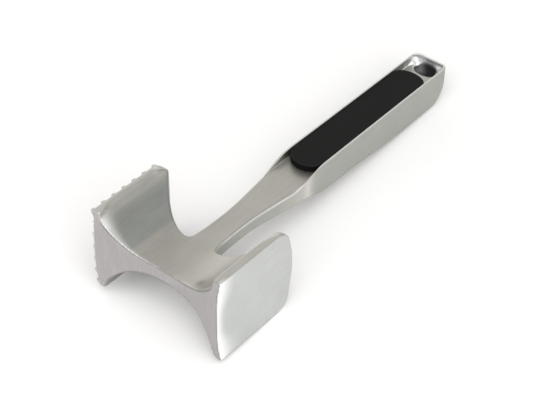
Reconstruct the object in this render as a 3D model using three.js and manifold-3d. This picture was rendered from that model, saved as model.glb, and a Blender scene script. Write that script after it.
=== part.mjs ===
// Meat mallet: one aluminium casting with a studded and a smooth striking face,
// and a soft grip inlay bonded into a channel along the top of its handle.
//
// The model is drawn with X across the head (studded face at -X, smooth face at +X),
// Y from the front of the head to the end of the handle, and Z = 0 on the middle
// plane of the web. The exported group then stands on Z = 0, centred in X and Y.

import * as THREE from 'three';
import { mergeVertices } from 'three/addons/utils/BufferGeometryUtils.js';
import Module from 'manifold-3d';

const wasm = await Module();
wasm.setup();

// ---------------------------------------------------------------- driving dimensions, mm

const HEAD = {
  halfWidth: 45, // middle of the head to either striking face
  halfHeight: 28, // middle of the head to the plates' top and bottom edges
  frontBulge: 1.7, // how far the plates' front edges swell at mid height
  backCorner: 54.1, // where the plates' back edges would meet their top edges
  backEdge: 59.7, // furthest back that the plates reach, at mid height
  backCornerRun: 6, // length of each back corner's rounding
  rimThickness: 5.2, // plate thickness at its top and bottom rims
  rimRadius: 1.8, // rounding of the rims' inner corners
  rimDraft: 0.3, // lean of the inner walls just below the rims
};

const WEB = {
  halfThickness: 4.1, // half of the web between the plates, and of the neck
  flarePull: 12, // the trough's curve leaves its middle towards this distance,
  rimPull: { x: 30.5, z: 3.8 }, // and nears the rims from this point
  frontRecess: 7.3, // how far the web's front edge sits behind the plates
  frontRecessHalfWidth: 38, // where that hollow meets the plates
  notchBottom: 36.4, // front end of the slots beside the neck
  notchRadius: 3.6, // rounding of the slots' front ends
  notchCentre: 12, // distance of the slots' rounding from the middle
  notchPull: 22, // the slots' outer curve leaves its front end towards this distance,
  platePull: { x: 34.5, y: 46.9 }, // and nears the plates' back edges from this point
};

const NECK = {
  waist: 7.9, // half width at the narrowest place
  waistAt: 62,
  root: 8.6, // half width where it leaves the web
  rootAt: 36,
};

const HANDLE = {
  shoulder: 12.7, // half width at the widest place
  shoulderAt: 120,
  endHalfWidth: 12.2,
  end: 251, // far end of the handle
  rimTop: 9.4, // top of the rims beside the inlay
  rimRiseFrom: 101.5,
  rimRiseTo: 129,
  neckDeepening: { by: 2.2, from: 65, to: 112 }, // the underside drops in three soft steps
  bellyStep: { by: 5.4, from: 108, to: 132 },
  palmSwell: { by: 2.6, from: 150, to: 205 },
  wall: 1.1, // thickness of the rims
  endCornerRadius: 4.5, // end corners, seen from above
  topEndRadius: 1.2, // end edge at the rim, seen from the side
  bottomEndRadius: 14.5, // end edge at the belly, seen from the side
};

const HOLE = {
  halfWidth: 7.4, // oval hanging hole through the handle
  halfLength: 4.8,
  wallBeyond: 2, // metal left between the hole and the handle's end, at the channel's floor
  lean: Math.atan(0.2), // towards the head as it goes down, to keep clear of the rounded end
};

const STUDS = {
  perSide: 7,
  pitchUp: 8.5,
  pitchBack: 8,
  base: 4.2, // width at the face
  tip: 1.8, // width at the blunt tip
  height: 2.4,
  root: 0.5, // depth of each stud inside the plate
  firstColumn: 2.2, // distance of the first column behind the head's front
};

const INLAY = {
  nearTip: 120, // tip of the rounded end towards the head
  nearArcLength: 10,
  farTip: 233, // middle of the shallow arc towards the hanging hole
  farArcRise: 3.2,
  farCornerRun: 2.6,
  farCornerRise: 0.9,
  top: 8.8, // a little below the rims
  edgeRound: 0.5,
  sideGap: 0.3, // clearance to the rims
};

const PEGS = {
  places: [145, 177, 209], // along the handle
  radius: 2,
  length: 5,
  clearance: 0.3, // all round, and below the tips
};

const BOND = {
  thickness: 0.4, // adhesive film under the inlay
  inset: 1.2, // distance of its edge inside the inlay's edge
  faceGap: 0.1, // clearance above and below the film
};

const STATION = 5; // spacing of the points along the neck and handle
const CURVE_STEPS = 14; // segments in each freeform curve

// ---------------------------------------------------------------- materials

const castAluminium = new THREE.MeshStandardMaterial({
  color: 0xb9b8b2, roughness: 0.38, metalness: 1.0,
});
const softGrip = new THREE.MeshStandardMaterial({
  color: 0x1c1c1d, roughness: 0.62, metalness: 0.0,
});
const adhesiveFilm = new THREE.MeshStandardMaterial({
  color: 0xd8d2b8, roughness: 0.5, metalness: 0.0,
});

// ---------------------------------------------------------------- helpers

function toSolid(geometry) {
  const bare = geometry.clone();
  bare.deleteAttribute('normal');
  bare.deleteAttribute('uv');
  const merged = mergeVertices(bare, 1e-4);
  return new wasm.Manifold(new wasm.Mesh({
    numProp: 3,
    vertProperties: new Float32Array(merged.attributes.position.array),
    triVerts: new Uint32Array(merged.index.array),
  }));
}

function toGeometry(solid) {
  const mesh = solid.getMesh();
  const geometry = new THREE.BufferGeometry();
  geometry.setAttribute('position', new THREE.BufferAttribute(mesh.vertProperties, 3));
  geometry.setIndex(new THREE.BufferAttribute(mesh.triVerts, 1));
  geometry.computeVertexNormals();
  return geometry;
}

// A shape drawn in (x, y), made solid from z = low to z = high.
function extrudeUp(shape, low, high, bevel = {}) {
  const settings = { depth: high - low, curveSegments: CURVE_STEPS, bevelEnabled: false, ...bevel };
  return new THREE.ExtrudeGeometry(shape, settings).translate(0, 0, low);
}

// A shape drawn in (x, z), made solid from y = low to y = high.
function extrudeBack(shape, low, high) {
  return extrudeUp(shape, -high, -low).rotateX(Math.PI / 2);
}

// A shape drawn in (y, z), made solid across the width.
function extrudeAcross(shape, halfWidth) {
  const toSide = new THREE.Matrix4().makeBasis(
    new THREE.Vector3(0, 1, 0),
    new THREE.Vector3(0, 0, 1),
    new THREE.Vector3(1, 0, 0),
  );
  return extrudeUp(shape, -halfWidth, halfWidth).applyMatrix4(toSide);
}

function uprightCylinder(radius, low, high, sides) {
  return new THREE.CylinderGeometry(radius, radius, high - low, sides)
    .rotateX(Math.PI / 2)
    .translate(0, 0, (low + high) / 2);
}

function smoothstep(from, to, value) {
  return THREE.MathUtils.smoothstep(value, from, to);
}

// ---------------------------------------------------------------- head

// Seen from the front: two plates joined by a web, with a trough above and below.
function hourglassShape() {
  const wallX = HEAD.halfWidth - HEAD.rimThickness;
  const shape = new THREE.Shape();
  shape.moveTo(-HEAD.halfWidth, -HEAD.halfHeight);
  for (const side of [1, -1]) {
    const rim = -side * HEAD.halfHeight;
    const floor = -side * WEB.halfThickness;
    const x = (value) => side * value;
    shape.lineTo(x(-wallX - HEAD.rimRadius), rim);
    shape.quadraticCurveTo(x(-wallX), rim, x(HEAD.rimDraft - wallX), rim + side * HEAD.rimRadius);
    const rimStart = rim + side * HEAD.rimRadius;
    const pullX = x(WEB.rimPull.x);
    const pullZ = -side * WEB.rimPull.z;
    shape.bezierCurveTo(-pullX, pullZ, x(-WEB.flarePull), floor, 0, floor);
    shape.bezierCurveTo(x(WEB.flarePull), floor, pullX, pullZ, x(wallX - HEAD.rimDraft), rimStart);
    shape.quadraticCurveTo(x(wallX), rim, x(wallX + HEAD.rimRadius), rim);
    shape.lineTo(x(HEAD.halfWidth), rim);
    shape.lineTo(x(HEAD.halfWidth), -rim);
  }
  return shape;
}

// Seen from the side: the plates' outline, barrelled in front and rounder behind.
function plateShape() {
  const run = HEAD.backCornerRun;
  const height = HEAD.halfHeight;
  const swell = HEAD.backEdge - HEAD.backCorner;
  const cornerY = HEAD.backCorner + swell * (1 - ((height - run) / height) ** 2);
  const bowControl = 2 * HEAD.backEdge - cornerY;
  const shape = new THREE.Shape();
  shape.moveTo(0, height);
  shape.quadraticCurveTo(-2 * HEAD.frontBulge, 0, 0, -height);
  shape.lineTo(HEAD.backCorner - run, -height);
  shape.quadraticCurveTo(HEAD.backCorner, -height, cornerY, -height + run);
  shape.quadraticCurveTo(bowControl, 0, cornerY, height - run);
  shape.quadraticCurveTo(HEAD.backCorner, height, HEAD.backCorner - run, height);
  return shape;
}

// Seen from above: one open slot between the neck and a plate.
function notchShape() {
  const inner = NECK.waist - 1;
  const outer = HEAD.halfWidth + 1;
  const beyond = HEAD.backEdge + 10;
  const roundAt = WEB.notchBottom + WEB.notchRadius;
  const { x: pullX, y: pullY } = WEB.platePull;
  const shape = new THREE.Shape();
  shape.moveTo(inner, beyond);
  shape.lineTo(inner, roundAt + 5);
  shape.lineTo(WEB.notchCentre - WEB.notchRadius, roundAt);
  shape.absarc(WEB.notchCentre, roundAt, WEB.notchRadius, Math.PI, 1.5 * Math.PI, false);
  shape.bezierCurveTo(WEB.notchPull, WEB.notchBottom, pullX, pullY, outer, HEAD.backEdge + 2.5);
  shape.lineTo(outer, beyond);
  return shape;
}

// The round hollow that sets the web's front edge back between the plates.
function frontRecess() {
  const depth = WEB.frontRecess;
  const radius = (WEB.frontRecessHalfWidth ** 2 + depth ** 2) / (2 * depth);
  const reach = HEAD.halfHeight + 2;
  return uprightCylinder(radius, -reach, reach, 240).translate(0, depth - radius, 0);
}

function headSolid() {
  const reach = HEAD.backEdge + 5;
  const notch = toSolid(extrudeUp(notchShape(), -HEAD.halfHeight - 2, HEAD.halfHeight + 2));
  return toSolid(extrudeBack(hourglassShape(), -5, reach))
    .intersect(toSolid(extrudeAcross(plateShape(), HEAD.halfWidth + 1)))
    .subtract(toSolid(frontRecess()))
    .subtract(notch)
    .subtract(notch.rotate([0, 180, 0]));
}

// Blunt square studs in a grid, rooted a little way into the studded face.
function studSolids() {
  const flare = STUDS.root * (STUDS.base - STUDS.tip) / STUDS.height;
  const halfDiagonal = Math.SQRT2 / 2;
  const tipRadius = STUDS.tip * halfDiagonal;
  const rootRadius = (STUDS.base + flare) * halfDiagonal;
  const stud = new THREE.CylinderGeometry(tipRadius, rootRadius, STUDS.height + STUDS.root, 4)
    .rotateY(Math.PI / 4)
    .rotateZ(Math.PI / 2)
    .translate(-HEAD.halfWidth - (STUDS.height - STUDS.root) / 2, 0, 0);
  const studs = [];
  for (let column = 0; column < STUDS.perSide; column += 1) {
    for (let row = 0; row < STUDS.perSide; row += 1) {
      const y = STUDS.firstColumn + column * STUDS.pitchBack;
      const z = (row - (STUDS.perSide - 1) / 2) * STUDS.pitchUp;
      studs.push(toSolid(stud.clone().translate(0, y, z)));
    }
  }
  return wasm.Manifold.union(studs);
}

// ---------------------------------------------------------------- neck and handle

function halfWidthAt(y) {
  if (y < NECK.waistAt) {
    const towardsRoot = (NECK.waistAt - y) / (NECK.waistAt - NECK.rootAt);
    return NECK.waist + (NECK.root - NECK.waist) * towardsRoot ** 2;
  }
  if (y < HANDLE.shoulderAt) {
    const flare = smoothstep(NECK.waistAt, HANDLE.shoulderAt, y);
    return NECK.waist + (HANDLE.shoulder - NECK.waist) * flare;
  }
  const towardsShoulder = (HANDLE.end - y) / (HANDLE.end - HANDLE.shoulderAt);
  return HANDLE.endHalfWidth + (HANDLE.shoulder - HANDLE.endHalfWidth) * towardsShoulder ** 2;
}

function topAt(y) {
  const rise = smoothstep(HANDLE.rimRiseFrom, HANDLE.rimRiseTo, y);
  return WEB.halfThickness + (HANDLE.rimTop - WEB.halfThickness) * rise;
}

function bottomAt(y) {
  const steps = [HANDLE.neckDeepening, HANDLE.bellyStep, HANDLE.palmSwell];
  return steps.reduce((z, step) => z - step.by * smoothstep(step.from, step.to, y), -WEB.halfThickness);
}

function stations(from, to) {
  const count = Math.round((to - from) / STATION);
  return Array.from({ length: count + 1 }, (_, i) => from + ((to - from) * i) / count);
}

// Seen from above: the neck and handle, or the same outline moved inwards.
function handlePlanShape(inset, from) {
  const end = HANDLE.end - inset;
  const corner = Math.max(HANDLE.endCornerRadius - inset, 1);
  const width = (y) => halfWidthAt(y) - inset;
  const shape = new THREE.Shape();
  const along = stations(from, end - corner);
  shape.moveTo(width(from), from);
  along.slice(1).forEach((y) => shape.lineTo(width(y), y));
  shape.quadraticCurveTo(width(end), end, width(end) - corner, end);
  shape.lineTo(corner - width(end), end);
  shape.quadraticCurveTo(-width(end), end, -width(end - corner), end - corner);
  along.reverse().slice(1).forEach((y) => shape.lineTo(-width(y), y));
  return shape;
}

// Seen from the side: level neck, rims that rise to the grip, and a belly below.
function handleSideShape(from) {
  const { end, topEndRadius, bottomEndRadius } = HANDLE;
  const bottom = bottomAt(end);
  const shape = new THREE.Shape();
  shape.moveTo(from, topAt(from));
  stations(from, end - topEndRadius).slice(1).forEach((y) => shape.lineTo(y, topAt(y)));
  shape.quadraticCurveTo(end, HANDLE.rimTop, end, HANDLE.rimTop - topEndRadius);
  shape.absarc(end - bottomEndRadius, bottom + bottomEndRadius, bottomEndRadius, 0, -Math.PI / 2, true);
  stations(from, end - bottomEndRadius).reverse().slice(1).forEach((y) => shape.lineTo(y, bottomAt(y)));
  return shape;
}

function handleSolid() {
  const start = WEB.notchBottom - 8;
  const plan = toSolid(extrudeUp(handlePlanShape(0, start), -30, 30));
  return plan.intersect(toSolid(extrudeAcross(handleSideShape(start), 20)));
}

function gripChannel() {
  const shape = handlePlanShape(HANDLE.wall, HANDLE.rimRiseFrom);
  return toSolid(extrudeUp(shape, WEB.halfThickness, HANDLE.rimTop + 2));
}

function hangingHole() {
  const y = HANDLE.end - HOLE.wallBeyond - HOLE.halfLength;
  const oval = uprightCylinder(1, -30, 30, 40).scale(HOLE.halfWidth, HOLE.halfLength, 1);
  return toSolid(oval.rotateX(-HOLE.lean).translate(0, y, WEB.halfThickness));
}

function pegCylinder(y, extra, low, high) {
  return uprightCylinder(PEGS.radius + extra, low, high, 20).translate(0, y, 0);
}

function pegHoles() {
  const high = WEB.halfThickness + 1;
  const low = inlayUnderside() - PEGS.length - PEGS.clearance;
  const holes = PEGS.places.map((y) => toSolid(pegCylinder(y, PEGS.clearance, low, high)));
  return wasm.Manifold.union(holes);
}

function bodyGeometry() {
  const solid = headSolid()
    .add(studSolids())
    .add(handleSolid())
    .subtract(gripChannel())
    .subtract(hangingHole())
    .subtract(pegHoles());
  return toGeometry(solid);
}

// ---------------------------------------------------------------- grip inlay and its bond

// Seen from above: round towards the head, a shallow arc towards the hanging hole.
function inlayShape(inset) {
  const width = (y) => halfWidthAt(y) - HANDLE.wall - inset;
  const nearStart = INLAY.nearTip + INLAY.nearArcLength;
  const farStart = INLAY.farTip - INLAY.farArcRise - INLAY.farCornerRun;
  const farCorner = farStart + INLAY.farCornerRun;
  const farArcStart = farCorner + INLAY.farCornerRise;
  const near = width(nearStart);
  const far = width(farCorner);
  const arcHalf = far - INLAY.farCornerRun;
  const arcPull = 2 * (INLAY.farTip - inset) - farArcStart;
  const shape = new THREE.Shape();
  shape.moveTo(-near, nearStart);
  shape.absellipse(0, nearStart, near, INLAY.nearArcLength - inset, Math.PI, 2 * Math.PI, false, 0);
  stations(nearStart, farStart).slice(1).forEach((y) => shape.lineTo(width(y), y));
  shape.quadraticCurveTo(far, farCorner, arcHalf, farArcStart);
  shape.quadraticCurveTo(0, arcPull, -arcHalf, farArcStart);
  shape.quadraticCurveTo(-far, farCorner, -width(farStart), farStart);
  stations(nearStart, farStart).reverse().slice(1, -1).forEach((y) => shape.lineTo(-width(y), y));
  return shape;
}

function inlayUnderside() {
  return WEB.halfThickness + BOND.thickness + 2 * BOND.faceGap;
}

function inlayGeometry() {
  const round = INLAY.edgeRound;
  const bevel = {
    bevelEnabled: true, bevelSize: round, bevelThickness: round, bevelOffset: -round, bevelSegments: 2,
  };
  const low = inlayUnderside();
  const pad = toSolid(extrudeUp(inlayShape(INLAY.sideGap), low + round, INLAY.top - round, bevel));
  const pegs = PEGS.places.map((y) => toSolid(pegCylinder(y, 0, low - PEGS.length, low + 1)));
  return toGeometry(pad.add(wasm.Manifold.union(pegs)));
}

function bondGeometry() {
  const shape = inlayShape(INLAY.sideGap + BOND.inset);
  for (const y of PEGS.places) {
    const hole = new THREE.Path();
    hole.absarc(0, y, PEGS.radius + PEGS.clearance, 0, 2 * Math.PI, false);
    shape.holes.push(hole);
  }
  const low = WEB.halfThickness + BOND.faceGap;
  return extrudeUp(shape, low, low + BOND.thickness);
}

// ---------------------------------------------------------------- assembly

function piece(name, geometry, material) {
  const mesh = new THREE.Mesh(geometry, material);
  mesh.name = name;
  return mesh;
}

const mallet = new THREE.Group();
mallet.add(piece('mallet_body', bodyGeometry(), castAluminium));
mallet.add(piece('grip_inlay', inlayGeometry(), softGrip));
mallet.add(piece('inlay_adhesive', bondGeometry(), adhesiveFilm));

mallet.position.set(
  STUDS.height / 2,
  (HEAD.frontBulge - HANDLE.end) / 2,
  HEAD.halfHeight,
);

export default mallet;
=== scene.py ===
"""Looks of a cast aluminium meat mallet with a soft grip inlay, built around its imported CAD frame.

Shapes are written as distance functions in millimetres, in the mallet's own drawing frame: X across the
head with the studded face at -X, Y from the front of the head to the end of the handle, and Z = 0 on the
middle plane of the web. Each one is turned into a fine quad mesh, and moved into the CAD frame in metres.
"""

import math

import bpy
import numpy as np
from mathutils import Euler, Matrix, Vector


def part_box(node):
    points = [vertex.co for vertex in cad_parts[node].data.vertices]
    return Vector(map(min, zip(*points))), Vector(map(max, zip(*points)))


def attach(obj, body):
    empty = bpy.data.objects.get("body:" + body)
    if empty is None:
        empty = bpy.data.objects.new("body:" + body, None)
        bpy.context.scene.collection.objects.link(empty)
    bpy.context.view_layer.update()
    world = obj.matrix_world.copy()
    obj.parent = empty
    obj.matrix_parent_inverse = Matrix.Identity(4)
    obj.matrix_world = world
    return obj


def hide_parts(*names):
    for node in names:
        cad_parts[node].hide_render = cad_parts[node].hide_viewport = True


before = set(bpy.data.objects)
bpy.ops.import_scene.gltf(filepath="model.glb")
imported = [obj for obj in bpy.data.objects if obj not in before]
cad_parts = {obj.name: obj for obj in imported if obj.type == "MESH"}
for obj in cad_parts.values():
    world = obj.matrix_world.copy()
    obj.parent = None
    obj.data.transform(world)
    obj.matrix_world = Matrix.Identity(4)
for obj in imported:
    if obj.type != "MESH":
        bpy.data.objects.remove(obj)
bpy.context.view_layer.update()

MM = 0.001

# ---------------------------------------------------------------- dimensions, mm

HALF_WIDTH = 45.0  # middle of the head to either striking face
HALF_HEIGHT = 28.0
FRONT_BULGE = 1.7  # how far the front face stands out at mid height
BACK_EDGE = 59.7
BACK_SWEEP = 5.6  # how far the plates' back edges fall away at the top and bottom
STUDDED_CORNER, SMOOTH_CORNER = 8.2, 7.0  # radii of the plates' back corners
PLATES_FROM = 17.0  # the plates' outline cuts nothing nearer to the middle than this
OUTER_ROLL, OUTER_ROLL_REACH = 1.1, 7.0  # how the smooth face falls away towards its front edge
INNER_ROLL, INNER_ROLL_REACH = 2.3, 8.5  # how the trough's walls do so
RECESS_DEPTH, RECESS_HALF_WIDTH = 7.3, 38.0
WEB_HALF = 4.1
TROUGH_CURVE = ((0.0, 4.1), (12.0, 4.1), (30.5, 3.8), (39.5, 26.2))  # cubic's points: across, up
TROUGH_WALL_SLOPE = 6.0  # rise over run of the inner walls just below the rims
TROUGH_FADE = (60.0, 90.0)  # where the trough's hollow runs out along the neck
NOTCH_CURVE = ((12.0, 36.4), (22.0, 36.4), (34.5, 46.9), (46.0, 62.2))  # cubic's points: across, back
NOTCH_RADIUS = 3.6
WAIST, WAIST_AT = 7.9, 62.0
ROOT, ROOT_AT = 8.6, 36.0
SHOULDER, SHOULDER_AT = 12.7, 120.0
END_HALF_WIDTH, END = 12.2, 251.0
RIM_HEIGHT, RIM_FROM, RIM_TO = 5.3, 101.5, 129.0
RIM_WALL = 1.1
END_CORNER, END_SWEEP = 4.5, 14.5
HOLE_AT, HOLE_HALF_WIDTH, HOLE_HALF_LENGTH = 244.2, 7.4, 4.8
HOLE_LEAN, HOLE_TOP, HOLE_FLARE = 0.2, 7.5, 0.35
STUD_ROWS, STUD_PITCH_UP, STUD_PITCH_BACK = 7, 8.5, 8.0
STUD_BASE, STUD_TIP, STUD_HEIGHT, STUD_FIRST = 4.2, 1.8, 2.4, 1.7
PEG_PLACES, PEG_RADIUS, PEG_LENGTH, PEG_GAP = (145.0, 177.0, 209.0), 2.0, 5.0, 0.3
INLAY_NEAR, INLAY_NEAR_ARC = 120.0, 10.0
INLAY_FAR, INLAY_FAR_RISE, INLAY_FAR_CORNER = 233.0, 4.1, 2.6
INLAY_TOP, INLAY_LOW, INLAY_GAP = 8.8, 4.7, 0.3
OVERLAP = 1.0  # how far a cut or a peg reaches into the shape it joins
SMOOTH_FROM = HALF_WIDTH - 1.6  # everything beyond this belongs to the smooth face
SHADE_SPOT_AT = (21.9, 11.0)  # a small spot of painted shade in the trough
WORN_REACH, BEND_REACH = 0.8, 4.0  # how far edges are felt for wear, and hollows for painted shade

# Smooth steps along the mallet: (rise, start, stop)
BOTTOM_STEPS = ((2.2, 65.0, 112.0), (5.4, 108.0, 132.0), (2.6, 150.0, 205.0))
SIDE_EDGE_STEPS = ((1.2, 100.0, 130.0), (2.0, 238.0, 248.0))
TOP_EDGE_STEPS = ((0.5, 36.0, 50.0), (-1.18, 99.0, 114.0))

# Radii of the rounded edges and fillets
FACE_EDGE, LOW_FACE_EDGE = 0.5, 3.7  # round the striking faces, and at the studded one's lower end
WALL_EDGE, SOFT_WALL_EDGE = 0.6, 3.2  # between the trough's walls and the plates' outlines
FRONT_EDGE, STUDDED_FRONT_EDGE, LOW_FRONT_EDGE = 0.45, 1.6, 1.2  # the last two are added to the first
RECESS_EDGE = 1.2
SIDE_EDGE, TOP_EDGE = 0.8, 0.9  # at the front of the neck, before their steps
RIM_EDGE = 0.2
FLOOR_FILLET, END_FILLET = 0.6, 5.0  # where the channel's floor meets its sides and its end wall
HOLE_LOW_LIP, HOLE_LIP = 0.5, 1.1
STUD_EDGE, STUD_CUT_EDGE, STUD_FILLET, STUD_SINK = 0.45, 0.3, 0.4, 3.0
INLAY_EDGE, PEG_EDGE = 0.7, 0.4

# ---------------------------------------------------------------- distance helpers


def smoothstep(start, stop, value):
    t = np.clip((value - start) / (stop - start), 0.0, 1.0)
    return t * t * (3.0 - 2.0 * t)


def blend(low, high, share):
    return low + (high - low) * share


def stepped(steps, y):
    return sum(rise * smoothstep(start, stop, y) for rise, start, stop in steps)


def rounded_both(a, b, radius):
    """Inside both shapes, with the outer edge between them rounded."""
    corner = np.hypot(np.maximum(a + radius, 0.0), np.maximum(b + radius, 0.0))
    return np.minimum(-radius, np.maximum(a, b)) + corner


def rounded_either(a, b, radius):
    """Inside either shape, with a fillet where they meet."""
    return -rounded_both(-a, -b, radius)


def curve_table(points, count=400):
    """X, height and slope along a cubic curve whose X only grows."""
    p = np.array(points)
    t = np.linspace(0.0, 1.0, count)[:, None]
    xy = (1 - t) ** 3 * p[0] + 3 * (1 - t) ** 2 * t * p[1] + 3 * (1 - t) * t ** 2 * p[2] + t ** 3 * p[3]
    return xy[:, 0], xy[:, 1], np.gradient(xy[:, 1], xy[:, 0])


TROUGH = curve_table(TROUGH_CURVE)
NOTCH = curve_table(NOTCH_CURVE)


def trough_height(across):
    """Height of the trough's surface and its slope at a distance from the middle."""
    x, height, slope = TROUGH
    beyond = np.maximum(across - x[-1], 0.0)
    rise = np.interp(across, x, height) + beyond * TROUGH_WALL_SLOPE
    return rise, np.where(beyond > 0.0, TROUGH_WALL_SLOPE, np.interp(across, x, slope, left=0.0))


def half_width(y):
    """Half the width of the neck and handle, from the web to the far end."""
    root = blend(WAIST, ROOT, ((WAIST_AT - y) / (WAIST_AT - ROOT_AT)) ** 2)
    neck = blend(WAIST, SHOULDER, smoothstep(WAIST_AT, SHOULDER_AT, y))
    grip = blend(END_HALF_WIDTH, SHOULDER, ((END - y) / (END - SHOULDER_AT)) ** 2)
    return np.where(y < WAIST_AT, root, np.where(y < SHOULDER_AT, neck, grip))


def rim_rise(y):
    return RIM_HEIGHT * smoothstep(RIM_FROM, RIM_TO, y)


# ---------------------------------------------------------------- the casting


def notch_edge(across, y):
    """Distance behind the curved back edge of the web, where the slots end."""
    x, place, slope = NOTCH
    steep = np.interp(across, x, slope, left=0.0)
    return (y - np.interp(across, x, place)) / np.sqrt(1.0 + steep ** 2)


def plate_profile(x, y, z):
    """A plate seen from the side: level edges, a bowed back edge and rounded back corners."""
    bow = BACK_EDGE - BACK_SWEEP * (z / HALF_HEIGHT) ** 2
    lean = 2.0 * BACK_SWEEP * z / HALF_HEIGHT ** 2
    back = (y - bow) / np.sqrt(1.0 + lean ** 2)
    corner = np.where(x > 0.0, SMOOTH_CORNER, STUDDED_CORNER)
    return rounded_both(back, np.abs(z) - HALF_HEIGHT, corner)


def behind_bulge(y, z):
    """How far a point lies behind the bulging front face."""
    return y + FRONT_BULGE * (1.0 - (z / HALF_HEIGHT) ** 2)


def front_roll(depth, reach, y, z):
    """How far a surface falls away as it nears the front face."""
    return depth * (np.maximum(reach - behind_bulge(y, z), 0.0) / reach) ** 2


def plate_outline(x, y, z):
    """Both plates' outlines with their outer faces, out of the handle's way."""
    rolls = smoothstep(29.0, 17.0, np.abs(z)) * (x > 0.0)
    face = np.abs(x) - HALF_WIDTH + front_roll(OUTER_ROLL, OUTER_ROLL_REACH, y, z) * rolls
    studded_edge = blend(FACE_EDGE, LOW_FACE_EDGE, smoothstep(-8.0, -27.0, z))
    edge = np.where(x > 0.0, FACE_EDGE, studded_edge)
    return np.minimum(rounded_both(face, plate_profile(x, y, z), edge), np.abs(x) - PLATES_FROM)


def front_face(x, y, z):
    """The bulging front of both plates, with the round recess between them."""
    radius = (RECESS_HALF_WIDTH ** 2 + RECESS_DEPTH ** 2) / (2.0 * RECESS_DEPTH)
    recess = radius - np.hypot(x, y - (RECESS_DEPTH - radius))
    return rounded_both(-behind_bulge(y, z), recess, RECESS_EDGE)


def studs(x, y, z):
    """A grid of square tapered studs, cut off at the plate's outline."""
    column = np.clip(np.round((y - STUD_FIRST) / STUD_PITCH_BACK), 0, STUD_ROWS - 1)
    half_rows = (STUD_ROWS - 1) // 2
    row = np.clip(np.round(z / STUD_PITCH_UP), -half_rows, half_rows)
    along = y - STUD_FIRST - column * STUD_PITCH_BACK
    up = z - row * STUD_PITCH_UP
    square = (along ** 4 + up ** 4) ** 0.25
    out = -HALF_WIDTH - x
    taper = (STUD_BASE - STUD_TIP) / (2.0 * STUD_HEIGHT)
    side = (square - STUD_BASE / 2.0 + taper * np.maximum(out, 0.0)) / math.hypot(1.0, taper)
    stud = rounded_both(side, out - STUD_HEIGHT, STUD_EDGE)
    return rounded_both(np.maximum(stud, -STUD_SINK - out), plate_profile(x, y, z), STUD_CUT_EDGE)


def channel(x, y, z):
    """The hollow in the top of the handle, inside its rim."""
    side = np.abs(x) - half_width(y) + RIM_WALL
    wall = rounded_both(side, y - END + RIM_WALL, END_CORNER - RIM_WALL)
    wall = np.maximum(wall, RIM_FROM - 2.0 - y)
    fillet = blend(FLOOR_FILLET, END_FILLET, smoothstep(240.5, 247.0, y))
    return rounded_both(wall, WEB_HALF - z, fillet)


def nearest_peg(x, y):
    return np.minimum.reduce([np.hypot(x, y - place) for place in PEG_PLACES])


def peg_holes(x, y, z):
    bottom = INLAY_LOW - PEG_LENGTH - PEG_GAP - z
    bore = np.maximum(nearest_peg(x, y) - PEG_RADIUS - PEG_GAP, bottom)
    return np.maximum(bore, z - WEB_HALF - OVERLAP)


def hanging_hole(x, y, z):
    """An oval bore that leans a little, so that the handle's rounded end keeps its wall around it."""
    flare = HOLE_FLARE * smoothstep(-3.0, 3.0, z)
    length, width = HOLE_HALF_LENGTH + flare, HOLE_HALF_WIDTH + flare
    along = (y - HOLE_AT - flare - HOLE_LEAN * np.minimum(z - WEB_HALF, 0.0)) / length
    oval = np.hypot(x / width, along)
    steep = np.hypot(x / width ** 2, along / length) / np.maximum(oval, 0.05)
    return np.maximum((oval - 1.0) / steep, z - HOLE_TOP)


def wall_edge(x, y, z):
    """Radius between the trough's walls and the plates' outlines: soft where the casting was dressed."""
    studded_rim = smoothstep(2.0, 9.0, y) * smoothstep(53.0, 42.0, y) * smoothstep(-5.0, 5.0, z)
    smooth_corner = smoothstep(36.0, 50.0, y) * smoothstep(10.0, 28.0, z)
    softened = np.where(x > 0.0, smooth_corner, studded_rim)
    return blend(WALL_EDGE, SOFT_WALL_EDGE, np.maximum(softened, smoothstep(5.0, -20.0, z)))


def blank(x, y, z):
    """The casting with its studs, before its front face and the handle's hollows are cut."""
    across = np.abs(x)
    height, slope = trough_height(across)
    fade = 1.0 - smoothstep(*TROUGH_FADE, y)
    crown = blend(WEB_HALF, height, fade)
    level = np.sqrt(1.0 + (slope * fade) ** 2)
    roll = front_roll(INNER_ROLL, INNER_ROLL_REACH, y, z) * smoothstep(9.0, 22.0, np.abs(z))
    top = (z - crown - rim_rise(y) + roll) / level
    bottom = (-crown - stepped(BOTTOM_STEPS, y) - z + roll) / level
    plan = rounded_either(notch_edge(across, y), across - half_width(y), NOTCH_RADIUS)
    under = rounded_both(y - END, bottom, END_SWEEP)
    body = rounded_both(plan, under, SIDE_EDGE + stepped(SIDE_EDGE_STEPS, y))
    body = rounded_both(body, top, TOP_EDGE + stepped(TOP_EDGE_STEPS, y))
    body = rounded_both(body, plate_outline(x, y, z), wall_edge(x, y, z))
    return rounded_either(body, studs(x, y, z), STUD_FILLET)


def front_edge(x, z):
    """Rounding of the front face's edge: soft beside the studs, and crisp elsewhere."""
    beside_studs = STUDDED_FRONT_EDGE * smoothstep(39.0, 43.0, -x) * smoothstep(27.0, 22.0, z)
    low_corner = LOW_FRONT_EDGE * smoothstep(-14.0, -26.0, z) * smoothstep(30.0, 40.0, -x)
    return FRONT_EDGE + beside_studs + low_corner


def casting(x, y, z):
    body = rounded_both(blank(x, y, z), front_face(x, y, z), front_edge(x, z))
    body = rounded_both(body, -channel(x, y, z), np.clip(rim_rise(y), 0.001, RIM_EDGE))
    lip = blend(HOLE_LOW_LIP, HOLE_LIP, smoothstep(-4.0, 2.0, z) * smoothstep(240.5, 246.0, y))
    body = rounded_both(body, -hanging_hole(x, y, z), lip)
    return np.maximum(body, -peg_holes(x, y, z))


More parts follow.
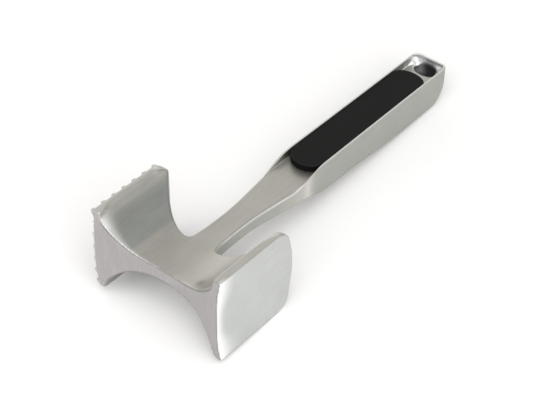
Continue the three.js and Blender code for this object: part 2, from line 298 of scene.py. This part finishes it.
def inlay(x, y, z):
    """A pad with a rounded near end and an arched far end, and the pegs under it."""
    side = np.abs(x) - half_width(y) + RIM_WALL + INLAY_GAP
    near_start = INLAY_NEAR + INLAY_NEAR_ARC
    wide = half_width(np.array(near_start)) - RIM_WALL - INLAY_GAP
    ellipse = np.hypot(x / wide, (y - near_start) / INLAY_NEAR_ARC) - 1.0
    near = np.where(y < near_start, ellipse * INLAY_NEAR_ARC, -INLAY_NEAR_ARC)
    far_wide = half_width(np.array(INLAY_FAR)) - RIM_WALL - INLAY_GAP
    far_radius = (far_wide ** 2 + INLAY_FAR_RISE ** 2) / (2.0 * INLAY_FAR_RISE)
    far = np.hypot(x, np.maximum(y - INLAY_FAR + far_radius, 0.0)) - far_radius
    plan = rounded_both(np.maximum(side, near), far, INLAY_FAR_CORNER)
    pad = np.maximum(rounded_both(plan, z - INLAY_TOP, INLAY_EDGE), INLAY_LOW - z)
    peg = rounded_both(nearest_peg(x, y) - PEG_RADIUS, INLAY_LOW - PEG_LENGTH - z, PEG_EDGE)
    return np.minimum(pad, np.maximum(peg, z - INLAY_LOW - OVERLAP))


# ---------------------------------------------------------------- from distance to mesh


def spaced(*stretches):
    """Grid lines through stretches of (start, stop, spacing) that share their ends."""
    lines = [np.array([stretches[0][0]])]
    for start, stop, spacing in stretches:
        count = max(1, int(round((stop - start) / spacing)))
        lines.append(np.linspace(start, stop, count + 1)[1:])
    return np.concatenate(lines)


def surface_net(distance, x, y, z):
    """Corners and quads of the surface where distance is 0, over the nodes of a bent grid."""
    d = distance(x, y, z)
    nodes = np.stack([np.broadcast_to(c, d.shape) for c in (x, y, z)], axis=-1)
    cells = tuple(n - 1 for n in d.shape)
    total = np.zeros((np.prod(cells), 3))
    count = np.zeros(np.prod(cells))
    quads = []
    for axis in range(3):
        low = [slice(None)] * 3
        high = [slice(None)] * 3
        low[axis], high[axis] = slice(0, -1), slice(1, None)
        d_low, d_high = d[tuple(low)], d[tuple(high)]
        crossing = np.array(np.nonzero((d_low < 0.0) != (d_high < 0.0)))
        here = tuple(crossing)
        step = crossing.copy()
        step[axis] += 1
        share = (d_low[here] / (d_low[here] - d_high[here]))[:, None]
        point = nodes[here] * (1.0 - share) + nodes[tuple(step)] * share
        ring = []
        first, second = (axis + 1) % 3, (axis + 2) % 3
        for back_first, back_second in ((1, 1), (0, 1), (0, 0), (1, 0)):
            cell = crossing.copy()
            cell[first] -= back_first
            cell[second] -= back_second
            ring.append(np.ravel_multi_index(tuple(cell), cells))
        for flat in ring:
            count += np.bincount(flat, minlength=count.size)
            for k in range(3):
                total[:, k] += np.bincount(flat, weights=point[:, k], minlength=count.size)
        ring = np.stack(ring, axis=1)
        outward = d_low[here] < 0.0
        quads.append(np.where(outward[:, None], ring, ring[:, ::-1]))
    used = np.nonzero(count)[0]
    number = np.full(count.size, -1)
    number[used] = np.arange(used.size)
    return total[used] / count[used, None], number[np.concatenate(quads)]


def slope_of(distance, points, step=0.02):
    """The distance function's gradient at each point."""
    out = np.empty_like(points)
    for k in range(3):
        ahead, behind = points.copy(), points.copy()
        ahead[:, k] += step
        behind[:, k] -= step
        out[:, k] = (distance(*ahead.T) - distance(*behind.T)) / (2.0 * step)
    return out


def settle(distance, points, rounds=4, reach=0.3):
    """Moves points onto the surface along its slope."""
    for _ in range(rounds):
        slope = slope_of(distance, points)
        squared = np.maximum((slope ** 2).sum(axis=1), 0.05)
        move = -slope * (distance(*points.T) / squared)[:, None]
        length = np.linalg.norm(move, axis=1, keepdims=True)
        points = points + move * np.minimum(1.0, reach / np.maximum(length, 1e-9))
    return points


def edge_sharpness(distance, points, normals, reach):
    """Above 0 where the surface bends outwards within reach, below 0 where it is hollow."""
    side = np.cross(normals, np.where(np.abs(normals[:, [0]]) > 0.7, [0.0, 1.0, 0.0], [1.0, 0.0, 0.0]))
    side /= np.linalg.norm(side, axis=1, keepdims=True)
    other = np.cross(normals, side)
    total = 0.0
    for way in (side, -side, other, -other):
        total = total + distance(*(points + way * reach).T)
    return np.clip(total / (2.0 * reach), -1.0, 1.0)


def on_the_front(behind):
    """1 on the front face, falling to 0 a little way behind it."""
    return smoothstep(0.3, 0.06, behind)


def near_surface(distance):
    """1 on the surface of a hollow, falling to 0 a little way off it."""
    return smoothstep(-0.9, -0.5, -np.abs(distance))


def painted_highlights(points, normals, behind, on_smooth):
    """Painted highlights and a painted reflection band: bright metal on the rolled front edges, the neck's
    upper edges, the shoulder and the rims; behind is the distance from the front face.
    """
    x, y, z = points.T
    sideways, upwards = np.abs(normals[:, 0]), normals[:, 2]
    reach = 0.9 + 4.6 * smoothstep(4.0, 24.0, np.abs(z)) + 2.2 * on_smooth
    upper = np.where(x > SMOOTH_FROM, 1.0, smoothstep(-2.0, 2.0, z) * smoothstep(27.6, 25.6, z))
    edge_gap = 1.0 - 0.75 * smoothstep(1.1, 0.5, behind) * (1.0 - on_smooth)
    off_web = np.abs(x) > 5.0
    rolled = np.exp(-(behind / reach) ** 2) * upper * edge_gap * off_web
    bevel = np.clip(1.0 - ((sideways - 0.76) / 0.24) ** 2, 0.0, 1.0) * (upwards > 0.0)
    neck_edge = bevel * smoothstep(38.0, 48.0, y) * (np.abs(x) < 13.5)
    shoulder = 0.3 * np.exp(-((y - 113.5) / 3.0) ** 2) * smoothstep(0.8, 0.95, sideways)
    plate_rim = 0.15 * smoothstep(26.8, 27.6, z)
    handle_rim = 0.6 * smoothstep(8.7, 9.1, z) * smoothstep(106.0, 118.0, y)
    rim = smoothstep(0.75, 0.95, upwards) * (plate_rim + handle_rim)
    return np.maximum.reduce([rolled * (1.0 - on_the_front(behind)), neck_edge, shoulder, rim])


def casting_marks(points, normals):
    """Where each finish, painted highlight and painted shade of the casting lies, from 0 to 1 at each
    point.
    """
    x, y, z = points.T
    sideways, upwards = np.abs(normals[:, 0]), normals[:, 2]
    behind = np.maximum(-front_face(x, y, z), 0.0)
    on_front = on_the_front(behind)
    on_smooth = smoothstep(SMOOTH_FROM, SMOOTH_FROM + 0.5, x) * smoothstep(0.5, 0.8, normals[:, 0])
    # painted shade on the studded plate's inner wall, fading out towards its top as a painted highlight
    inner_wall_shade_mask = smoothstep(0.36, 0.46, sideways) * (np.abs(x + 27.0) < 15.0) * smoothstep(27.5, 20.0, z)
    # painted shade on the neck's sides between the plates, laid on with the blasted colour
    slot_shade = 0.8 * smoothstep(108.0, 88.0, y) * (np.abs(x) < 14.0)
    grip_side_and_slot_shade = np.maximum(smoothstep(113.0, 124.0, y), slot_shade)
    in_end = smoothstep(236.0, 239.0, y) * near_surface(channel(x, y, z)) * smoothstep(0.985, 0.9, upwards)
    in_hole = near_surface(hanging_hole(x, y, z))
    far_side = smoothstep(-3.0, 2.5, 0.77 * x + 0.63 * (y - HOLE_AT))
    return {
        "front": on_front,
        # painted shade: a dark line along the front face's edges, clear of the studded face
        "edge_shade": on_front * np.exp(-(blank(x, y, z) / 0.6) ** 2) * smoothstep(-41.0, -37.0, x),
        "ground": on_smooth,
        "blasted_and_slot_shade": smoothstep(0.6, 0.85, sideways) * grip_side_and_slot_shade,
        "inner_wall_shade": inner_wall_shade_mask,
        # painted highlights along the edges, the neck, the shoulder and the rims
        "painted_highlight": painted_highlights(points, normals, behind, on_smooth),
        # painted shade on faces that look down
        "under": smoothstep(-0.15, -0.6, upwards),
        "polish": np.maximum(in_end, in_hole),
        # painted shade inside the hanging hole, below its lip, on one side of the bore
        "hole_shade": in_hole * smoothstep(6.5, 3.5, z) * far_side,
        # a small spot of painted shade in the trough, on its upper side
        "shade_spot": np.exp(-((x - SHADE_SPOT_AT[0]) ** 2 + (y - SHADE_SPOT_AT[1]) ** 2) / 6.0) * (z > 0.0),
    }


def inlay_marks(points, normals):
    """The inlay's side wall, which is duller than its top and painted darker as shade."""
    return {"side": smoothstep(0.8, 0.3, normals[:, 2])}


# Where the drawing frame's origin lies in the CAD frame.
low_corner = np.array(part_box("mallet_body")[0])
ORIGIN = low_corner + np.array([HALF_WIDTH + STUD_HEIGHT, FRONT_BULGE, HALF_HEIGHT]) * MM


def make_piece(name, distance, marks, x, y, z):
    """A smooth mesh of a distance function, carrying its marks as attributes."""
    points, quads = surface_net(distance, x, y, z)
    points = settle(distance, points)
    normals = slope_of(distance, points)
    normals /= np.maximum(np.linalg.norm(normals, axis=1, keepdims=True), 1e-9)
    mesh = bpy.data.meshes.new(name)
    mesh.from_pydata((points * MM + ORIGIN).tolist(), [], quads.tolist())
    mesh.polygons.foreach_set("use_smooth", [True] * len(mesh.polygons))
    values = marks(points, normals)
    values["worn"] = edge_sharpness(distance, points, normals, WORN_REACH)
    values["bend"] = edge_sharpness(distance, points, normals, BEND_REACH)
    for label, value in values.items():
        mesh.attributes.new(label, "FLOAT", "POINT").data.foreach_set("value", value)
    mesh.validate()
    mesh.update()
    piece = bpy.data.objects.new(name, mesh)
    bpy.context.scene.collection.objects.link(piece)
    return piece


def mirrored(half):
    """Grid lines from 0 outwards, repeated on the other side of 0."""
    return np.concatenate([-half[:0:-1], half])


def along_pegs(start, stop, coarse, fine):
    """Stretches of grid lines that are finer at each peg."""
    reach = PEG_RADIUS + PEG_GAP + 1.1
    stretches = []
    for place in PEG_PLACES:
        stretches += [(start, place - reach, coarse), (place - reach, place + reach, fine)]
        start = place + reach
    return stretches + [(start, stop, coarse)]


def make_casting():
    columns = mirrored(spaced((0.0, 9.9, 1.1), (9.9, 13.7, 0.35), (13.7, 38.0, 1.3), (38.0, 48.6, 0.5)))
    y = spaced(
        (-2.8, 7.0, 0.5), (7.0, 34.0, 0.85), (34.0, 62.0, 0.7), (62.0, 100.0, 1.8),
        (100.0, 131.0, 0.8), *along_pegs(131.0, 234.5, 1.8, 0.6), (234.5, 252.4, 0.4),
    )
    z = mirrored(spaced((0.0, 10.2, 0.45), (10.2, 29.2, 0.64)))
    inner = 1.0 - smoothstep(15.0, 28.0, np.abs(columns))
    scale = 1.0 + (half_width(y)[None, :] / SHOULDER - 1.0) * inner[:, None]
    x = columns[:, None] * scale
    return make_piece("casting", casting, casting_marks, x[:, :, None], y[None, :, None], z[None, None, :])


def make_inlay():
    columns = mirrored(spaced((0.0, 2.8, 0.4), (2.8, 9.6, 0.7), (9.6, 12.7, 0.25)))
    y = spaced((118.6, 134.0, 0.4), *along_pegs(134.0, 224.0, 1.2, 0.4), (224.0, 234.6, 0.35))
    z = spaced((-1.1, 3.9, 0.6), (3.9, 7.9, 0.5), (7.9, 9.3, 0.2))
    x = columns[:, None] * (half_width(y) / SHOULDER)[None, :]
    return make_piece("soft_inlay", inlay, inlay_marks, x[:, :, None], y[None, :, None], z[None, None, :])


body = make_casting()
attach(body, "root")
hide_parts("mallet_body")

grip = make_inlay()
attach(grip, "root")
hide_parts("grip_inlay")

# ---------------------------------------------------------------- materials


def new_material(name):
    material = bpy.data.materials.new(name)
    material.use_nodes = True
    tree = material.node_tree
    return material, tree, tree.nodes["Principled BSDF"]


def put(tree, kind, inputs, output=0, **settings):
    """Adds a node, sets or links its inputs, and gives back one of its outputs."""
    node = tree.nodes.new(kind)
    for name, value in settings.items():
        setattr(node, name, value)
    for key, value in inputs.items():
        if isinstance(value, bpy.types.NodeSocket):
            tree.links.new(value, node.inputs[key])
        else:
            node.inputs[key].default_value = value
    return node.outputs[output]


def maths(tree, operation, *values):
    return put(tree, "ShaderNodeMath", dict(enumerate(values)), operation=operation)


def mark(tree, name):
    return put(tree, "ShaderNodeAttribute", {}, output="Fac", attribute_name=name)


def mix_values(tree, share, low, high):
    return put(tree, "ShaderNodeMix", {0: share, 2: low, 3: high}, data_type="FLOAT")


def mix_colours(tree, share, low, high):
    return put(tree, "ShaderNodeMix", {0: share, 6: low, 7: high}, output=2, data_type="RGBA")


def shade(tree, colour, factor):
    """A colour made darker or lighter by a factor."""
    if not isinstance(colour, bpy.types.NodeSocket):
        colour = colour[:3]
    return put(tree, "ShaderNodeVectorMath", {0: colour, "Scale": factor}, operation="SCALE")


def grey(value, red=1.0, green=1.0, blue=1.0):
    return (value * red, value * green, value * blue, 1.0)


def added(tree, base, value, factor):
    """The base plus a value times a factor."""
    return maths(tree, "MULTIPLY_ADD", value, factor, base)


def ramp(tree, value, start, stop, high):
    """Grows from 0 at start to high at stop."""
    return put(tree, "ShaderNodeMapRange", {0: value, 1: start, 2: stop, 3: 0.0, 4: high})


def noise(tree, place, size, detail=2.0, roughness=0.5):
    """Noise whose largest marks are about size metres: one number, or one along each axis."""
    sizes = size if isinstance(size, tuple) else (size, size, size)
    scaled = put(tree, "ShaderNodeMapping", {"Vector": place, "Scale": tuple(1.0 / v for v in sizes)})
    inputs = {"Vector": scaled, "Scale": 1.0, "Detail": detail, "Roughness": roughness}
    return put(tree, "ShaderNodeTexNoise", inputs)


def relief(tree, height, depth, strength, under=None):
    inputs = {"Height": height, "Distance": depth, "Strength": strength}
    if under is not None:
        inputs["Normal"] = under
    return put(tree, "ShaderNodeBump", inputs)


# The brushed metal, and what is laid over it in turn where each mark says: finishes and painted shade
BRUSHED = grey(0.525, 1.0, 0.975, 0.905)
FINISHES_AND_SHADES = {
    "front": grey(0.43, 1.0, 0.955, 0.95),
    # painted shade on the studded plate's inner wall
    "inner_wall_shade": grey(0.395, 0.97, 1.0, 0.955),
    # the blasted grip sides, and painted shade on the neck's sides between the plates
    "blasted_and_slot_shade": grey(0.41, 0.975, 1.0, 0.93),
    "ground": grey(0.56, 0.98, 1.0, 0.975),
    "polish": grey(0.66, 0.98, 1.0, 1.0),
    # painted shade inside the hanging hole
    "hole_shade": grey(0.12),
}
# colour of the painted highlights
HIGHLIGHT_COLOUR = grey(0.96, 0.995, 1.0, 0.985)
WORN = grey(0.80)
EDGE_SHADE_COLOUR = grey(0.16, 1.0, 0.97, 0.97)
RUBBER, SCUFFED_RUBBER, SHADED_SIDE_RUBBER = grey(0.0065), grey(0.03), grey(0.002)
AMBER = grey(0.60, 1.0, 0.9, 0.62)
PAPER = grey(0.97)
STUDIO = grey(1.0, 1.0, 0.99, 0.97)


def brushing(tree, place):
    """Brushed lines: lengthwise, upright on the front face, and slanted on the smooth face."""
    fine, long, shorter = 0.0009, 0.016, 0.014
    tilt = (math.radians(-6.0), 0.0, 0.0)
    turned = put(tree, "ShaderNodeMapping", {"Vector": place, "Rotation": tilt})
    lengthwise = noise(tree, place, (fine, long, fine), detail=4.0, roughness=0.6)
    upright = noise(tree, place, (fine, fine, shorter), detail=4.0, roughness=0.6)
    slanted = noise(tree, turned, (fine, shorter, fine), detail=4.0, roughness=0.6)
    brush = mix_values(tree, mark(tree, "front"), lengthwise, upright)
    return mix_values(tree, mark(tree, "ground"), brush, slanted)


def cast_aluminium():
    """Cast aluminium, brushed along its length, with a ground smooth face, painted highlights on its edges,
    and painted shade in its hollows, underneath, along the front face's edges and in the hanging hole.
    """
    material, tree, shader = new_material("cast_aluminium")
    place = put(tree, "ShaderNodeTexCoord", {}, output="Object")
    painted_highlight = mark(tree, "painted_highlight")
    brush = brushing(tree, place)
    cloud = noise(tree, place, 0.013, detail=3.0)
    grain = noise(tree, place, 0.00035, detail=2.0)

    colour = BRUSHED
    for layer, layer_colour in FINISHES_AND_SHADES.items():
        colour = mix_colours(tree, mark(tree, layer), colour, layer_colour)
    streak = mix_values(tree, mark(tree, "front"), 0.26, 0.42)
    tone = added(tree, added(tree, 0.86, streak, -0.5), brush, streak)
    tone = added(tree, tone, cloud, 0.16)
    tone = added(tree, tone, grain, 0.14)
    # painted shade in hollows, where the surface bends inwards
    hollow_shade = maths(tree, "MINIMUM", mark(tree, "bend"), 0.0)
    tone = added(tree, tone, hollow_shade, 0.5)
    # a small spot of painted shade in the trough
    tone = added(tree, tone, mark(tree, "shade_spot"), -0.3)
    # painted shade on faces that look down
    tone = added(tree, tone, mark(tree, "under"), -0.4)
    colour = shade(tree, colour, tone)
    # painted highlights
    colour = mix_colours(tree, maths(tree, "MULTIPLY", painted_highlight, 0.95), colour, HIGHLIGHT_COLOUR)
    colour = mix_colours(tree, ramp(tree, mark(tree, "worn"), 0.15, 0.6, 0.18), colour, WORN)
    # painted shade: a dark line along the front face's edges
    colour = mix_colours(tree, maths(tree, "MULTIPLY", mark(tree, "edge_shade"), 0.8), colour, EDGE_SHADE_COLOUR)
    tree.links.new(colour, shader.inputs["Base Color"])

    rough = mix_values(tree, mark(tree, "ground"), 0.37, 0.32)
    rough = mix_values(tree, mark(tree, "polish"), rough, 0.36)
    rough = added(tree, rough, brush, 0.10)
    rough = added(tree, rough, cloud, 0.06)
    tree.links.new(added(tree, rough, painted_highlight, -0.08), shader.inputs["Roughness"])

    bump = relief(tree, grain, 0.00002, 0.5)
    tree.links.new(relief(tree, brush, 0.00005, 0.5, bump), shader.inputs["Normal"])
    shader.inputs["Metallic"].default_value = 1.0
    return material


def soft_grip():
    """Black thermoplastic rubber: a fine moulded grain, with scuffed edges and a dull side wall in painted
    shade.
    """
    material, tree, shader = new_material("soft_grip")
    place = put(tree, "ShaderNodeTexCoord", {}, output="Object")
    grain = noise(tree, place, 0.0005, detail=3.0, roughness=0.6)
    cloud = noise(tree, place, 0.02, detail=3.0)
    scuff = noise(tree, place, (0.0012, 0.02, 0.0012), detail=3.0)
    side = mark(tree, "side")
    tone = added(tree, added(tree, 0.6, grain, 0.5), cloud, 0.35)
    colour = shade(tree, RUBBER, tone)
    colour = mix_colours(tree, ramp(tree, mark(tree, "worn"), 0.1, 0.5, 0.35), colour, SCUFFED_RUBBER)
    # painted shade on the side wall
    colour = mix_colours(tree, side, colour, SHADED_SIDE_RUBBER)
    tree.links.new(colour, shader.inputs["Base Color"])
    rough = added(tree, added(tree, 0.60, scuff, 0.12), side, 0.2)
    tree.links.new(rough, shader.inputs["Roughness"])
    tree.links.new(relief(tree, grain, 0.00006, 0.5), shader.inputs["Normal"])
    shader.inputs["Specular IOR Level"].default_value = 0.14
    return material


def adhesive_film():
    """Set contact adhesive: pale amber, with brushed-on streaks and small bubbles."""
    material, tree, shader = new_material("adhesive_film")
    place = put(tree, "ShaderNodeTexCoord", {}, output="Object")
    strokes = noise(tree, place, (0.0015, 0.012, 0.0015), detail=3.0)
    bubbles = put(tree, "ShaderNodeTexVoronoi", {"Vector": place, "Scale": 900.0})
    tree.links.new(shade(tree, AMBER, added(tree, 0.7, strokes, 0.5)), shader.inputs["Base Color"])
    tree.links.new(added(tree, 0.3, bubbles, 0.4), shader.inputs["Roughness"])
    tree.links.new(relief(tree, strokes, 0.00008, 0.6), shader.inputs["Normal"])
    return material


def pale_paper():
    material, tree, shader = new_material("pale_floor")
    place = put(tree, "ShaderNodeTexCoord", {}, output="Object")
    fibre = noise(tree, place, 0.004, detail=4.0)
    tree.links.new(shade(tree, PAPER, added(tree, 0.99, fibre, 0.01)), shader.inputs["Base Color"])
    shader.inputs["Roughness"].default_value = 0.95
    return material


body.data.materials.append(cast_aluminium())
grip.data.materials.append(soft_grip())
for slot in bpy.data.objects["inlay_adhesive"].material_slots:
    slot.material = adhesive_film()

# ---------------------------------------------------------------- stage


HEAD_LENGTH, HANDLE_FROM = 0.07, 0.13  # from the front of the head, metres
FLOOR_REACH = 6.0  # metres from the middle to each side

# The photograph's viewpoint, solved from its perspective
AZIMUTH, ELEVATION, ROLL = math.radians(39.175), math.radians(40.917), math.radians(0.711)
SEEN_ORIGIN = Vector((-0.05862, -0.04269, -0.9042))  # the drawing frame's origin from the camera
SENSOR_WIDTH, LENS = 36.0, 114.8218

# Each light's name, place, width and height in metres, watts and colour
WHITE, WARM, COOL = (1.0, 1.0, 1.0), (1.0, 0.985, 0.95), (1.0, 0.97, 0.985)
LIGHT_TARGET = Vector((0.0, 0.0, 0.02))
LIGHTS = (
    ("key", (0.9, -1.0, 1.6), (3.0, 3.0), 47.0, WHITE),
    ("back_panel", (-1.3, 0.95, 0.7), (1.6, 1.0), 4.5, WARM),
    ("right_panel", (1.3, -0.35, 0.32), (0.9, 0.4), 2.5, WHITE),
    ("front_panel", (-0.75, -1.25, 0.35), (0.8, 0.5), 3.0, COOL),
)


def resting_lean(piece):
    """The lean and height of a flat floor that touches both the head and the far part of the handle."""
    points = np.array([vertex.co for vertex in piece.data.vertices])
    along = points[:, 1] - ORIGIN[1]
    head, handle = points[along < HEAD_LENGTH], points[along > HANDLE_FROM]
    low, high = 0.0, math.radians(15.0)
    for _ in range(30):
        lean = (low + high) / 2.0
        down = np.array([0.0, -math.sin(lean), math.cos(lean)])
        head_low, handle_low = (head @ down).min(), (handle @ down).min()
        if handle_low > head_low:
            low = lean
        else:
            high = lean
    return lean, head_low


def make_floor():
    lean, height = resting_lean(body)
    mesh = bpy.data.meshes.new("floor")
    signs = ((-1, -1), (1, -1), (1, 1), (-1, 1))
    mesh.from_pydata([(x * FLOOR_REACH, y * FLOOR_REACH, 0.0) for x, y in signs], [], [(0, 1, 2, 3)])
    floor = bpy.data.objects.new("floor", mesh)
    floor.rotation_euler = (lean, 0.0, 0.0)
    floor.location = (0.0, -height * math.sin(lean), height * math.cos(lean))
    bpy.context.scene.collection.objects.link(floor)
    mesh.materials.append(pale_paper())


def add_light(name, place, size, watts, colour):
    data = bpy.data.lights.new(name, "AREA")
    data.shape = "RECTANGLE"
    data.size, data.size_y = size
    data.energy = watts
    data.color = colour
    light = bpy.data.objects.new(name, data)
    light.location = place
    light.rotation_euler = (LIGHT_TARGET - Vector(place)).to_track_quat("-Z", "Y").to_euler()
    bpy.context.scene.collection.objects.link(light)


def make_camera():
    level = Euler((math.pi / 2.0 - ELEVATION, 0.0, AZIMUTH)).to_matrix()
    turn = level @ Matrix.Rotation(ROLL, 3, "Z")
    data = bpy.data.cameras.new("camera")
    data.sensor_width, data.lens = SENSOR_WIDTH, LENS
    data.clip_start, data.clip_end = 0.05, 20.0
    camera = bpy.data.objects.new("camera", data)
    camera.matrix_world = Matrix.Translation(Vector(ORIGIN) - turn @ SEEN_ORIGIN) @ turn.to_4x4()
    bpy.context.scene.collection.objects.link(camera)
    bpy.context.scene.camera = camera


make_floor()
make_camera()
for light in LIGHTS:
    add_light(*light)

world = bpy.data.worlds.new("studio")
world.use_nodes = True
background = world.node_tree.nodes["Background"]
background.inputs["Color"].default_value = STUDIO
background.inputs["Strength"].default_value = 0.5
bpy.context.scene.world = world
bpy.context.scene.view_settings.view_transform = "Standard"
